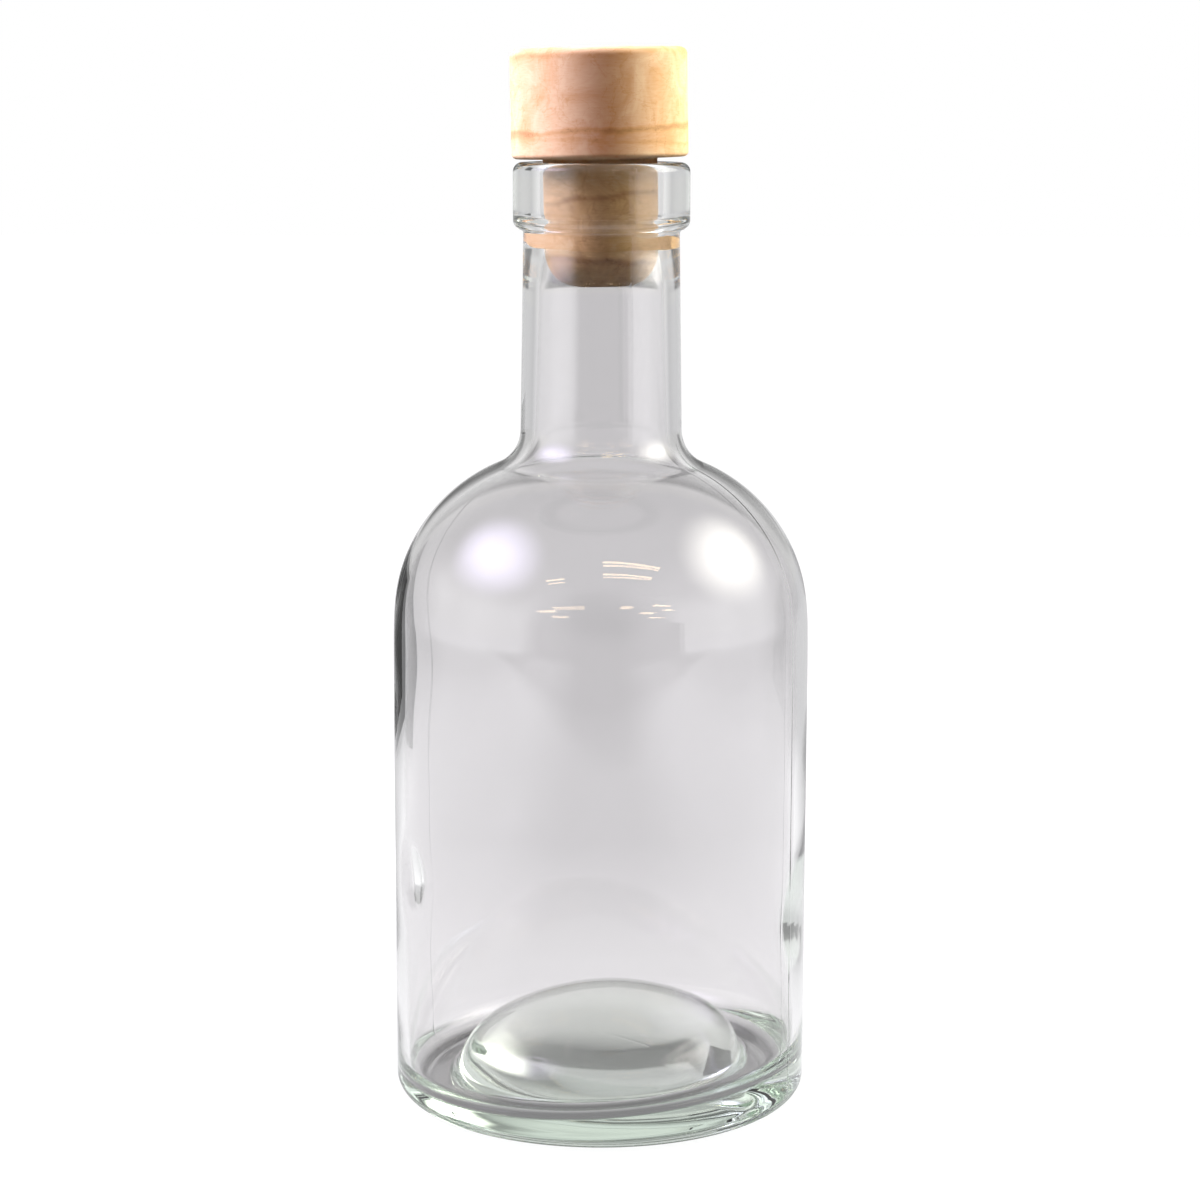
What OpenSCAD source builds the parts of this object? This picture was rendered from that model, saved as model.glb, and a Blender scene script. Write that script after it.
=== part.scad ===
// Clear glass bottle with a turned wooden stopper.
// The bottle is one blown piece of glass: a round body, a domed shoulder, a plain neck and a heavy lip.
// The stopper is one turned piece of wood: a broad head and a round-ended shank.
// Millimetres, +Z up, origin at the middle of the foot, on the surface that the bottle stands on.

/* [Glass body] */
// Outside diameter of the body
body_d = 66; // [58:0.5:80]
// Height of the glass, from the table to the top of the lip
glass_h = 149; // [142:0.5:190]
// Height at which the straight side turns into the shoulder
body_h = 77; // [50:0.5:80]
// Radius of the domed shoulder, seen from the side
shoulder_r = 27; // [22:0.5:28]
// Radius of the rounded heel between the side and the foot
heel_r = 3; // [1:0.25:5]
// Thickness of the side wall and shoulder
wall = 1.8; // [1.2:0.1:3]

/* [Base] */
// Lowest height of the inner floor on the bottle's axis, before its slant
floor_h = 4; // [3.5:0.25:8]
// Slant of the inner floor, where the glass settled thicker on one side
floor_slant = 3.5; // [0:0.25:4]
// Radius of the rounded corner between the inner floor and the wall
floor_corner_r = 4.5; // [3:0.25:8]
// Diameter of the dome that rises from the inner floor
floor_dome_d = 46; // [42:0.5:48]
// Height of the dome above the floor round it
floor_dome_h = 12; // [9:0.25:13]
// Radius of the dome's top, seen from the side
floor_dome_top_r = 38; // [34:1:44]
// Radius of the dome's rounded side
floor_dome_side_r = 9; // [7:0.25:10]
// Radius of the hollow curve at the dome's foot
floor_dome_foot_r = 2; // [1:0.25:2.5]
// Radius of the hollow under the foot
pushup_r = 22; // [14:0.5:24]
// Depth of the hollow under the foot
pushup_h = 2.5; // [1:0.25:3]

/* [Neck and lip] */
// Outside diameter of the neck, just under the lip
neck_d = 24.4; // [23.8:0.1:25.4]
// Outside diameter of the neck where it leaves the shoulder
neck_root_d = 25.4; // [25:0.1:27]
// Radius of the hollow curve between the neck and the shoulder
neck_curve_r = 6; // [3:0.25:8]
// Outside diameter of the lip
lip_d = 27.6; // [27:0.1:30]
// Height of the lip
lip_h = 10.3; // [6:0.1:12]
// Rounding of the lip's top edge
lip_top_r = 1.5; // [0.6:0.1:1.8]
// Rounding of the lip's bottom edge
lip_bottom_r = 1.4; // [0.5:0.1:2]

/* [Bore of the neck] */
// Diameter of the mouth, inside the lip
mouth_d = 19.4; // [19.2:0.1:20]
// Rounding of the mouth's inner edge
mouth_edge_r = 0.8; // [0.3:0.1:1]
// Depth from the top of the lip to the narrow seat
seat_depth = 10.3; // [8:0.1:14]
// Height of the narrow seat that grips the shank
seat_h = 3.3; // [2:0.1:5]
// Length over which the bore narrows from the mouth to the seat
ease_in = 2; // [1:0.25:4]
// Length over which the bore widens again below the seat
ease_out = 5; // [2:0.25:8]
// Diameter of the bore below the seat
neck_bore_d = 19.5; // [19:0.1:20]
// Diameter of the bore at the bottom of the neck
neck_bore_root_d = 20.8; // [20:0.1:22]
// Radius of the inner curve between the bore and the shoulder
bore_curve_r = 8; // [5:0.25:10]

/* [Wooden stopper] */
// Diameter of the head
head_d = 27.5; // [24:0.1:32]
// Height of the head
head_h = 16.75; // [10:0.25:25]
// Rounding of the head's top edge
head_top_r = 1.2; // [0.5:0.1:3]
// Rounding of the head's bottom edge
head_bottom_r = 0.8; // [0.3:0.1:2]
// Diameter of the shank
shank_d = 17.8; // [16:0.1:18]
// Radius of the shank's rounded end
shank_end_r = 6; // [3:0.25:7]
// How far the shank's end reaches below the seat
shank_out = 5.2; // [2:0.1:10]
// Gap between the head and the lip, on the axis
head_gap = 0.7; // [0.6:0.05:3]
// Radial clearance of the shank in the seat
fit_gap = 0.05; // [0.03:0.01:0.1]
// Lean of the stopper towards -X, in degrees
lean = 1.15; // [0:0.05:1.2]

/* [Hidden] */
$fn = 128;

body_r = body_d / 2;
inner_r = body_r - wall;
neck_r = neck_d / 2;
neck_root_r = neck_root_d / 2;
lip_r = lip_d / 2;
lip_z = glass_h - lip_h;
mouth_r = mouth_d / 2;
shank_r = shank_d / 2;
head_r = head_d / 2;

// The seat is bored to the leaning shank and its clearance
seat_r = shank_r / cos(lean) + seat_h / 2 * tan(lean) + fit_gap;
seat_top = glass_h - seat_depth;
seat_z = seat_top - seat_h;
seat_mid = seat_z + seat_h / 2;

// The shoulder is an arc about this centre, outside and inside alike
shoulder_x = body_r - shoulder_r;

// How far a cut runs past the surface that it opens
past = 1;

// Height at which the floor's rounded corner meets the wall, on the axis, where the slant turns about
floor_pivot = floor_h + floor_corner_r;

// Height of the cavity's plain bottom, above the dome and the slanted floor's highest corner
floor_join = max(floor_h + floor_dome_h, floor_pivot + inner_r * tan(floor_slant)) + past;

// How far the slanted floor runs into the wall all round, so that the wall cuts it off cleanly
floor_overlap = 0.02;

// Height of the centre of a curve of radius r that leads from the shoulder arc of radius arc_r into a neck of radius nr
function curve_z(arc_r, nr, r) = body_h + sqrt(pow(arc_r + r, 2) - pow(nr + r - shoulder_x, 2));

// Radius of the sphere that a cap of the given radius and height is cut from
function cap_sphere_r(r, h) = (r * r + h * h) / (2 * h);

// Half-outline of a dome on the straight side, led by a hollow curve into a neck
module dome_outline(arc_r, side_r, nr, r) {
    cz = curve_z(arc_r, nr, r);
    intersection() {
        translate([shoulder_x, body_h]) circle(arc_r);
        translate([0, body_h]) square([side_r, arc_r]);
    }
    difference() {
        polygon([[0, body_h], [shoulder_x, body_h], [nr + r, cz], [0, cz]]);
        translate([nr + r, cz]) circle(r);
    }
}

// Half-outline of a disc of height h on z = 0, with its bottom edge rounded
module foot_round_outline(r, h, edge_r) {
    translate([0, edge_r]) square([r, h - edge_r]);
    square([r - edge_r, edge_r]);
    intersection() {
        translate([r - edge_r, edge_r]) circle(edge_r);
        square([r, edge_r]);
    }
}

// Half-outline of a disc of height h on z = 0, with its bottom and top edges rounded
module round_disc_outline(r, h, bottom_r, top_r) {
    foot_round_outline(r, h / 2, bottom_r);
    translate([0, h]) mirror([0, 1]) foot_round_outline(r, h / 2, top_r);
}

// Outside of the glass, as a half-outline
module glass_outline() {
    foot_round_outline(body_r, body_h, heel_r);
    dome_outline(shoulder_r, body_r, neck_root_r, neck_curve_r);
    neck_z = curve_z(shoulder_r, neck_root_r, neck_curve_r);
    polygon([[0, neck_z], [neck_root_r, neck_z], [neck_r, lip_z + lip_bottom_r], [0, lip_z + lip_bottom_r]]);
    translate([0, lip_z]) round_disc_outline(lip_r, lip_h, lip_bottom_r, lip_top_r);
}

// Bore of the neck, as a half-outline, from the inner shoulder to past the mouth
module bore_outline() {
    bore_z = curve_z(shoulder_r - wall, neck_bore_root_d / 2, bore_curve_r);
    polygon([
        [0, bore_z],
        [neck_bore_root_d / 2, bore_z],
        [neck_bore_d / 2, seat_z - ease_out],
        [seat_r, seat_z],
        [seat_r, seat_top],
        [mouth_r, seat_top + ease_in],
        [mouth_r, glass_h + past],
        [0, glass_h + past]
    ]);
    difference() {
        translate([0, glass_h - mouth_edge_r]) square([mouth_r + mouth_edge_r, mouth_edge_r + past]);
        translate([mouth_r + mouth_edge_r, glass_h - mouth_edge_r]) circle(mouth_edge_r);
    }
}

// Cavity of the glass above the slanted floor
module cavity() {
    rotate_extrude() {
        translate([0, floor_join]) square([inner_r, body_h - floor_join]);
        dome_outline(shoulder_r - wall, inner_r, neck_bore_root_d / 2, bore_curve_r);
        bore_outline();
    }
}

// Half-outline of the dome on the inner floor, which stands on z = 0: a top arc, a side arc and a hollow foot
module floor_dome_outline() {
    top_z = floor_dome_h - floor_dome_top_r;
    side_x = floor_dome_d / 2 - floor_dome_side_r;
    side_z = top_z + sqrt(pow(floor_dome_top_r - floor_dome_side_r, 2) - pow(side_x, 2));
    foot_x = side_x + sqrt(pow(floor_dome_side_r + floor_dome_foot_r, 2) - pow(floor_dome_foot_r - side_z, 2));
    join_x = side_x * floor_dome_top_r / (floor_dome_top_r - floor_dome_side_r);
    low_z = side_z - floor_dome_side_r;
    intersection() {
        translate([0, top_z]) circle(floor_dome_top_r);
        translate([0, low_z]) square([join_x, floor_dome_h + past - low_z]);
    }
    translate([side_x, side_z]) circle(floor_dome_side_r);
    difference() {
        polygon([[side_x, side_z], [foot_x, floor_dome_foot_r], [foot_x, low_z], [side_x, low_z]]);
        translate([foot_x, floor_dome_foot_r]) circle(floor_dome_foot_r);
    }
}

// Bottom of the cavity: cut off by the wall, with a slanted floor, a rounded corner and a dome in the middle
module floor_hollow() {
    hollow_r = inner_r / cos(floor_slant) + floor_overlap;
    intersection() {
        cylinder(h = floor_join, r = inner_r);
        translate([0, 0, floor_pivot]) rotate([0, -floor_slant, 0]) translate([0, 0, -floor_corner_r]) rotate_extrude()
            difference() {
                union() {
                    foot_round_outline(hollow_r, floor_corner_r + past, floor_corner_r);
                    translate([0, floor_corner_r]) square([hollow_r + floor_corner_r, floor_join]);
                }
                floor_dome_outline();
            }
    }
}

// Shallow hollow under the foot, which leaves a flat ring to stand on
module pushup() {
    cap_r = cap_sphere_r(pushup_r, pushup_h);
    translate([0, 0, pushup_h - cap_r]) sphere(cap_r, $fn = 4 * $fn);
}

// The whole bottle, one piece of blown glass
module bottle() {
    color([0.80, 0.85, 0.84, 0.45]) difference() {
        rotate_extrude() glass_outline();
        cavity();
        floor_hollow();
        pushup();
    }
}

// The stopper upright, with z = 0 at the head's underside
module stopper_upright() {
    shank_l = head_gap + seat_depth + seat_h + shank_out;
    rotate_extrude() {
        round_disc_outline(head_r, head_h, head_bottom_r, head_top_r);
        translate([0, -shank_l]) foot_round_outline(shank_r, shank_l + head_bottom_r, shank_end_r);
    }
}

// The stopper in the neck, leaning about the middle of the seat that grips it
module stopper() {
    rise = glass_h + head_gap - seat_mid;
    color([0.87, 0.72, 0.52]) translate([0, 0, seat_mid]) rotate([0, -lean, 0]) translate([0, 0, rise]) stopper_upright();
}

bottle();
stopper();
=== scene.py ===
"""A clear glass bottle with a turned wooden stopper: its looks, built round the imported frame.

The bottle, the stopper and the camera hold their sizes in millimetres, and the rest of the studio
holds them in metres. The meshes are in metres, in the frame's own axes: +Z is up, -Y is the side
that faces the camera, and an angle round the bottle starts at that side and grows towards +X.
"""

from __future__ import annotations

import logging
import math
from dataclasses import dataclass
from enum import Enum

import bpy
import numpy as np
from mathutils import Euler, Matrix, Vector

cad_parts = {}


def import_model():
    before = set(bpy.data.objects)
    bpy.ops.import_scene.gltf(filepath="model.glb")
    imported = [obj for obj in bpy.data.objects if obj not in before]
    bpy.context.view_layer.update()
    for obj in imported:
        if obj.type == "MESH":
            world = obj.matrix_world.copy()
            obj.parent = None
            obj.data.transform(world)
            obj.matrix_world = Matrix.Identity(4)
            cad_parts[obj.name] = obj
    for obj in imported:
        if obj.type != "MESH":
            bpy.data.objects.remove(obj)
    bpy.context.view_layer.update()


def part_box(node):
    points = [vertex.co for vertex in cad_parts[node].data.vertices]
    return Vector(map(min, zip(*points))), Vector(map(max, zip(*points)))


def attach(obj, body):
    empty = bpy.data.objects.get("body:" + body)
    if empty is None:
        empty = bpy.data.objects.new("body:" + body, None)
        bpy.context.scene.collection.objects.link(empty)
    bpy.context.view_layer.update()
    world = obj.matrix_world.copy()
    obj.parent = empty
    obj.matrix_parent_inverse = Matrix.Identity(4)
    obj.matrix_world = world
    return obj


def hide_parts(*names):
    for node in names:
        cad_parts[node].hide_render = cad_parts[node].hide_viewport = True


LOG = logging.getLogger("bottle")
MM = 0.001
WHITE = "#ffffff"
SMOOTH = {"interpolation_type": "SMOOTHSTEP"}
# Two points of an outline that lie closer than this, in millimetres, are one
SAME_PLACE = 1e-6

Place = tuple[float, float, float]
Points = list[tuple[float, float]]
Stops = tuple[tuple[float, float], ...]
Feed = bpy.types.Node | bpy.types.NodeSocket


class GlassPassed(Enum):
    """How much glass a ray has passed, counted in faces."""

    ONE_FACE = 1
    WALL_AND_FACE = 3
    BOTH_WALLS = 4


@dataclass(frozen=True)
class Fade:
    """A number that goes from low at start to high at end, and stays level beyond them."""

    start: float
    end: float
    low: float = 0.0
    high: float = 1.0

    def ends(self) -> dict[str, float]:
        """The four numbers, by the names that a node gives them."""
        return {"From Min": self.start, "From Max": self.end, "To Min": self.low, "To Max": self.high}


def linear(colour: str) -> tuple[float, float, float, float]:
    """Turns an sRGB hex colour into linear light.

    Args:
        colour: A colour such as "#d9b48a".

    Returns:
        Red, green, blue and an alpha of 1, in linear light.
    """
    shares = [int(colour[i : i + 2], 16) / 255 for i in (1, 3, 5)]
    light = [s / 12.92 if s <= 0.04045 else ((s + 0.055) / 1.055) ** 2.4 for s in shares]
    return (*light, 1.0)


def add_node(
    tree: bpy.types.NodeTree, kind: str, links: dict[str | int, object] | None = None, **settings: object
) -> bpy.types.Node:
    """Adds one node with its settings, its input values and its links.

    Args:
        tree: The node tree that the node goes into.
        kind: The node's type, without the "ShaderNode" that each type starts with.
        links: For each input, by name or number, a value, the output that feeds it, or the node
            whose first output feeds it.
        **settings: The node's own properties, such as operation="MULTIPLY".

    Returns:
        The new node.
    """
    node = tree.nodes.new(f"ShaderNode{kind}")
    for name, value in settings.items():
        setattr(node, name, value)
    for socket, value in (links or {}).items():
        source = value.outputs[0] if isinstance(value, bpy.types.Node) else value
        if isinstance(source, bpy.types.NodeSocket):
            tree.links.new(source, node.inputs[socket])
        else:
            node.inputs[socket].default_value = source
    return node


def new_material(name: str) -> tuple[bpy.types.Material, bpy.types.NodeTree]:
    """Makes an empty material.

    Args:
        name: The material's name.

    Returns:
        The material and its node tree.
    """
    material = bpy.data.materials.new(name)
    material.use_nodes = True
    material.node_tree.nodes.clear()
    return material, material.node_tree


def set_stops(ramp: bpy.types.Node, stops: list[tuple[float, tuple[float, float, float, float]]]) -> None:
    """Sets the stops of a colour ramp.

    Args:
        ramp: The ramp's node.
        stops: Positions and colours, in rising order.
    """
    elements = ramp.color_ramp.elements
    elements[0].position, elements[0].color = stops[0]
    elements[-1].position, elements[-1].color = stops[-1]
    for position, colour in stops[1:-1]:
        elements.new(position).color = colour


def level_at(tree: bpy.types.NodeTree, share: Feed, stops: Stops) -> bpy.types.Node:
    """Looks up a plain level of light on a ramp.

    Args:
        tree: The node tree.
        share: Where on the ramp to look, from 0 to 1.
        stops: Positions and levels, in rising order.

    Returns:
        The node that gives the level.
    """
    top = max(level for _, level in stops)
    ramp = add_node(tree, "ValToRGB", {"Fac": share})
    set_stops(ramp, [(position, (level / top, level / top, level / top, 1.0)) for position, level in stops])
    return add_node(tree, "Math", {0: ramp, 1: top}, operation="MULTIPLY")


def by_glass(tree: bpy.types.NodeTree, passed: GlassPassed, before: float, after: float) -> bpy.types.Node:
    """Gives one number to a ray that has passed less glass than stated, and another to the rest.

    Args:
        tree: The node tree.
        passed: How much glass makes the difference.
        before: The number for less glass.
        after: The number for that much or more.

    Returns:
        The node that gives the number.
    """
    depth = add_node(tree, "LightPath").outputs["Transmission Depth"]
    step = Fade(passed.value - 1, passed.value, before, after)
    return add_node(tree, "MapRange", {"Value": depth} | step.ends())


def add_object(name: str, data: bpy.types.ID) -> bpy.types.Object:
    """Makes an object and links it to the scene.

    Args:
        name: The object's name.
        data: Its mesh, camera or light.

    Returns:
        The object.
    """
    thing = bpy.data.objects.new(name, data)
    bpy.context.scene.collection.objects.link(thing)
    return thing


def smooth_step(value: np.ndarray, start: float, end: float) -> np.ndarray:
    """Eases from 0 at start to 1 at end.

    Args:
        value: The numbers to ease.
        start: Where the result leaves 0.
        end: Where the result reaches 1, above or below start.

    Returns:
        The eased share for each number.
    """
    share = np.clip((value - start) / (end - start), 0.0, 1.0)
    return share * share * (3 - 2 * share)


def bump_at(distance: np.ndarray, width: float) -> np.ndarray:
    """A smooth bump of height 1.

    Args:
        distance: How far each point lies from the middle of the bump.
        width: The distance at which the bump has fallen to about a third.

    Returns:
        The bump's height at each point.
    """
    return np.exp(-((distance / width) ** 2))


def turn_from(angle: np.ndarray, centre: float | np.ndarray) -> np.ndarray:
    """How far round the bottle each angle lies from another one.

    Args:
        angle: Angles round the bottle, in degrees.
        centre: The angle that they are measured from, in degrees.

    Returns:
        The differences, between -180 and 180 degrees.
    """
    return (angle - centre + 180) % 360 - 180


class Outline:
    """A half-outline of a round piece, as points of radius and height in millimetres."""

    def __init__(self, radius: float, height: float) -> None:
        """Starts the outline.

        Args:
            radius: The first point's distance from the axis.
            height: The first point's height.
        """
        self.points: Points = [(radius, height)]

    def line(self, radius: float, height: float, step: float) -> None:
        """Goes straight to a point.

        Args:
            radius: The end's distance from the axis.
            height: The end's height.
            step: The longest piece of the line.
        """
        r0, z0 = self.points[-1]
        count = max(1, math.ceil(math.hypot(radius - r0, height - z0) / step))
        for i in range(1, count + 1):
            self.points.append((r0 + (radius - r0) * i / count, z0 + (height - z0) * i / count))

    def arc(self, centre: tuple[float, float], size: float, start: float, end: float, step: float) -> None:
        """Goes round an arc.

        Args:
            centre: The arc's centre, as radius and height.
            size: The arc's own radius.
            start: The angle of its first point, from 0 outwards to 90 upwards, in degrees.
            end: The angle of its last point.
            step: The longest piece of the arc, in degrees.
        """
        count = max(1, math.ceil(abs(end - start) / step))
        for i in range(count + 1):
            angle = math.radians(start + (end - start) * i / count)
            point = (centre[0] + size * math.cos(angle), centre[1] + size * math.sin(angle))
            if math.dist(point, self.points[-1]) > SAME_PLACE:
                self.points.append(point)


def revolve(name: str, places: np.ndarray) -> bpy.types.Object:
    """Makes a closed mesh from the rings of a round piece.

    Args:
        name: The object's name.
        places: The points in millimetres, as rings by columns by 3. All the points of the first ring
            lie on one place, and so do those of the last.

    Returns:
        The new object, linked to the scene and shaded smooth.
    """
    rings, columns = places.shape[0] - 2, places.shape[1]
    points = np.concatenate([places[:1, 0], places[1:-1].reshape(-1, 3), places[-1:, 0]]) * MM
    ring, column = np.meshgrid(np.arange(rings - 1), np.arange(columns), indexing="ij")
    after = (column + 1) % columns
    corners = [ring * columns + column, ring * columns + after]
    corners += [(ring + 1) * columns + after, (ring + 1) * columns + column]
    quads = 1 + np.stack(corners, axis=-1).reshape(-1, 4)
    around = np.arange(columns)
    beside = (around + 1) % columns
    first, last = np.zeros(columns, int), np.full(columns, len(points) - 1)
    last_ring = 1 + (rings - 1) * columns
    first_fan = np.stack([first, 1 + beside, 1 + around], axis=-1)
    last_fan = np.stack([last, last_ring + around, last_ring + beside], axis=-1)
    mesh = bpy.data.meshes.new(name)
    mesh.from_pydata(points.tolist(), [], quads.tolist() + first_fan.tolist() + last_fan.tolist())
    mesh.shade_smooth()
    mesh.update()
    return add_object(name, mesh)


@dataclass(frozen=True)
class SodaLimeGlass:
    """Soda-lime container glass, blown in a mould and fire polished.

    It is clear and sharply shiny. Iron in the sand turns it faintly green where light goes far
    through it, as in the foot and along the walls seen edge on. The mould leaves slow ripples, some
    millimetres across, which bend what it mirrors.
    """

    tint: str = "#f6f4f5"
    deep: str = "#b2d7b6"
    density: float = 9.0
    ior: float = 1.52
    roughness: float = 0.0
    shadow: str = "#f4f8f5"
    ripple_mm: float = 6.0
    ripple_detail: float = 1.0
    ripple_roughness: float = 0.4
    ripple_depth_mm: float = 0.004

    def build(self) -> bpy.types.Material:
        """Makes the material.

        Returns:
            A refracting glass that absorbs with depth and lets lamps shine through.
        """
        material, tree = new_material("soda_lime_glass")
        place = add_node(tree, "TexCoord").outputs["Object"]
        waves = {"Scale": 1 / (self.ripple_mm * MM), "Detail": self.ripple_detail}
        waves |= {"Vector": place, "Roughness": self.ripple_roughness}
        ripple = add_node(tree, "TexNoise", waves)
        bump = add_node(tree, "Bump", {"Height": ripple, "Distance": self.ripple_depth_mm * MM})
        body = add_node(
            tree,
            "BsdfPrincipled",
            {
                "Base Color": linear(self.tint),
                "Roughness": self.roughness,
                "IOR": self.ior,
                "Transmission Weight": 1.0,
                "Normal": bump,
            },
        )
        clear = add_node(tree, "BsdfTransparent", {"Color": linear(self.shadow)})
        ray = add_node(tree, "LightPath")
        surface = add_node(tree, "MixShader", {0: ray.outputs["Is Shadow Ray"], 1: body, 2: clear})
        depth = add_node(tree, "VolumeAbsorption", {"Color": linear(self.deep), "Density": self.density})
        add_node(tree, "OutputMaterial", {"Surface": surface, "Volume": depth})
        return material


@dataclass(frozen=True)
class Lump:
    """One place where the glass settled thicker, on the inside of the wall."""

    azimuth: float
    height: float
    half_turn: float
    half_height: float
    depth: float


@dataclass
class GlassBottle:
    """The blown glass: body, domed shoulder, neck, heavy lip, bore, slanted floor and hollow foot."""

    body_r: float
    height: float
    body_h: float = 77.0
    shoulder_r: float = 27.0
    heel_r: float = 3.0
    wall: float = 1.8
    floor_h: float = 4.0
    floor_slant: float = 3.5
    slant_fades: tuple[float, float] = (42.0, 12.0)
    floor_corner_r: float = 4.5
    dome_r: float = 23.0
    dome_h: float = 12.0
    dome_top_r: float = 38.0
    dome_side_r: float = 9.0
    dome_foot_r: float = 2.0
    pushup_r: float = 22.0
    pushup_h: float = 2.5
    neck_r: float = 12.2
    neck_root_r: float = 12.7
    neck_curve_r: float = 6.0
    lip_r: float = 13.8
    lip_h: float = 10.3
    lip_top_r: float = 1.5
    lip_bottom_r: float = 1.4
    lip_crease_r: float = 0.7
    mouth_r: float = 9.7
    mouth_edge_r: float = 0.8
    seat_depth: float = 10.3
    seat_h: float = 3.3
    # A touch less than the shank's radius, because the wood presses on the glass there
    seat_r: float = 8.88
    ease_in: float = 2.0
    ease_out: float = 5.0
    neck_bore_r: float = 9.75
    neck_bore_root_r: float = 10.4
    bore_curve_r: float = 8.0
    soft_join: float = 6.0
    soft_join_radii: tuple[float, float] = (20.0, 28.0)
    soft_join_share: float = 0.8
    soft_join_passes: int = 12
    columns: int = 192
    seam_columns: tuple[float, ...] = (-1.4, -0.9, -0.6, -0.35, 0.0, 0.35, 0.6, 0.9, 1.4)
    seam_margin: float = 1.8
    neck_seam: float = 22.0
    body_seam: float = 64.8
    seam_width: float = 0.16
    seam_height: float = 0.05
    seam_starts: tuple[float, float] = (0.5, 4.0)
    seams_change: float = 4.0
    # Heights over which the wall turns uneven, and heights from the neck's root where that ends
    uneven_above: tuple[float, float] = (6.0, 16.0)
    uneven_below: tuple[float, float] = (4.0, -8.0)
    outer_sway: float = 0.03
    outer_wave: float = 60.0
    outer_seed: int = 4
    inner_sway: float = 0.12
    inner_wave: float = 70.0
    inner_seed: int = 11
    # How often each wave turns round the wall, and how it gets shorter and weaker with that
    sway_turns: tuple[int, ...] = (1, 2, 3, 4, 5, 7)
    sway_shorter: tuple[float, float] = (0.6, 0.45)
    sway_weaker: float = 0.7
    sway_level: float = 0.5
    thin_side: float = 0.10
    thin_side_azimuth: float = -90.0
    thin_side_turn: float = 60.0
    lumps: tuple[Lump, ...] = (Lump(84.0, 29.0, 17.0, 6.5, 0.9), Lump(-66.0, 38.0, 6.0, 4.0, 0.5))
    finish: SodaLimeGlass = SodaLimeGlass()

    @property
    def shoulder_x(self) -> float:
        """Distance of the shoulder arc's centre from the axis."""
        return self.body_r - self.shoulder_r

    @property
    def inner_r(self) -> float:
        """Inside radius of the body."""
        return self.body_r - self.wall

    @property
    def seat_top(self) -> float:
        """Height of the seat's upper edge."""
        return self.height - self.seat_depth

    @property
    def seat_mid(self) -> float:
        """Height of the middle of the seat, which the stopper leans about."""
        return self.seat_top - self.seat_h / 2

    @property
    def neck_z(self) -> float:
        """Height at which the neck leaves the shoulder, on the outside."""
        return self.hollow_curve(self.shoulder_r, self.neck_root_r, self.neck_curve_r)[0]

    def hollow_curve(self, arc_r: float, neck_r: float, curve_r: float) -> tuple[float, float]:
        """Works out the hollow curve that leads from the shoulder into a neck.

        Args:
            arc_r: Radius of the shoulder arc.
            neck_r: Radius of the neck where the curve ends.
            curve_r: Radius of the hollow curve.

        Returns:
            The height of its centre, and the angle at which the arc hands over to it, in degrees.
        """
        across = neck_r + curve_r - self.shoulder_x
        rise = math.sqrt((arc_r + curve_r) ** 2 - across**2)
        return self.body_h + rise, math.degrees(math.atan2(rise, across))

    def outside(self) -> Points:
        """The outline from the middle of the foot up to the top of the lip.

        Returns:
            Points of radius and height.
        """
        cap_r = (self.pushup_r**2 + self.pushup_h**2) / (2 * self.pushup_h)
        cap_end = 90.0 - math.degrees(math.asin(self.pushup_r / cap_r))
        outline = Outline(0.0, self.pushup_h)
        outline.arc((0.0, self.pushup_h - cap_r), cap_r, 90.0, cap_end, step=0.7)
        outline.line(self.body_r - self.heel_r, 0.0, step=1.5)
        outline.arc((self.body_r - self.heel_r, self.heel_r), self.heel_r, -90.0, 0.0, step=6.0)
        outline.line(self.body_r, self.body_h, step=1.6)
        curve_z, turn = self.hollow_curve(self.shoulder_r, self.neck_root_r, self.neck_curve_r)
        outline.arc((self.shoulder_x, self.body_h), self.shoulder_r, 0.0, turn, step=2.2)
        root = (self.neck_root_r + self.neck_curve_r, curve_z)
        outline.arc(root, self.neck_curve_r, 180.0 + turn, 180.0, step=5.0)
        lip_z = self.height - self.lip_h
        crease = (self.neck_r + self.lip_crease_r, lip_z - self.lip_crease_r)
        outline.line(self.neck_r, crease[1], step=1.6)
        outline.arc(crease, self.lip_crease_r, 180.0, 90.0, step=15.0)
        bottom = (self.lip_r - self.lip_bottom_r, lip_z + self.lip_bottom_r)
        outline.arc(bottom, self.lip_bottom_r, -60.0, 0.0, step=10.0)
        top = (self.lip_r - self.lip_top_r, self.height - self.lip_top_r)
        outline.line(self.lip_r, top[1], step=1.2)
        outline.arc(top, self.lip_top_r, 0.0, 90.0, step=8.0)
        return outline.points

    def inside(self) -> Points:
        """The outline from the top of the lip down through the bore to the middle of the floor.

        Returns:
            Points of radius and height.
        """
        seat_z = self.seat_top - self.seat_h
        edge = (self.mouth_r + self.mouth_edge_r, self.height - self.mouth_edge_r)
        outline = Outline(edge[0], self.height)
        outline.arc(edge, self.mouth_edge_r, 90.0, 180.0, step=12.0)
        outline.line(self.mouth_r, self.seat_top + self.ease_in, step=1.0)
        outline.line(self.seat_r, self.seat_top, step=0.4)
        outline.line(self.seat_r, seat_z, step=1.0)
        outline.line(self.neck_bore_r, seat_z - self.ease_out, step=1.0)
        bore_arc = self.shoulder_r - self.wall
        curve_z, turn = self.hollow_curve(bore_arc, self.neck_bore_root_r, self.bore_curve_r)
        outline.line(self.neck_bore_root_r, curve_z, step=1.5)
        root = (self.neck_bore_root_r + self.bore_curve_r, curve_z)
        outline.arc(root, self.bore_curve_r, 180.0, 180.0 + turn, step=4.0)
        outline.arc((self.shoulder_x, self.body_h), bore_arc, turn, 0.0, step=2.2)
        corner = (self.inner_r - self.floor_corner_r, self.floor_h + self.floor_corner_r)
        outline.line(self.inner_r, corner[1], step=1.6)
        outline.arc(corner, self.floor_corner_r, 0.0, -90.0, step=4.5)
        outline.points += reversed(self.dome())
        return outline.points

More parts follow.
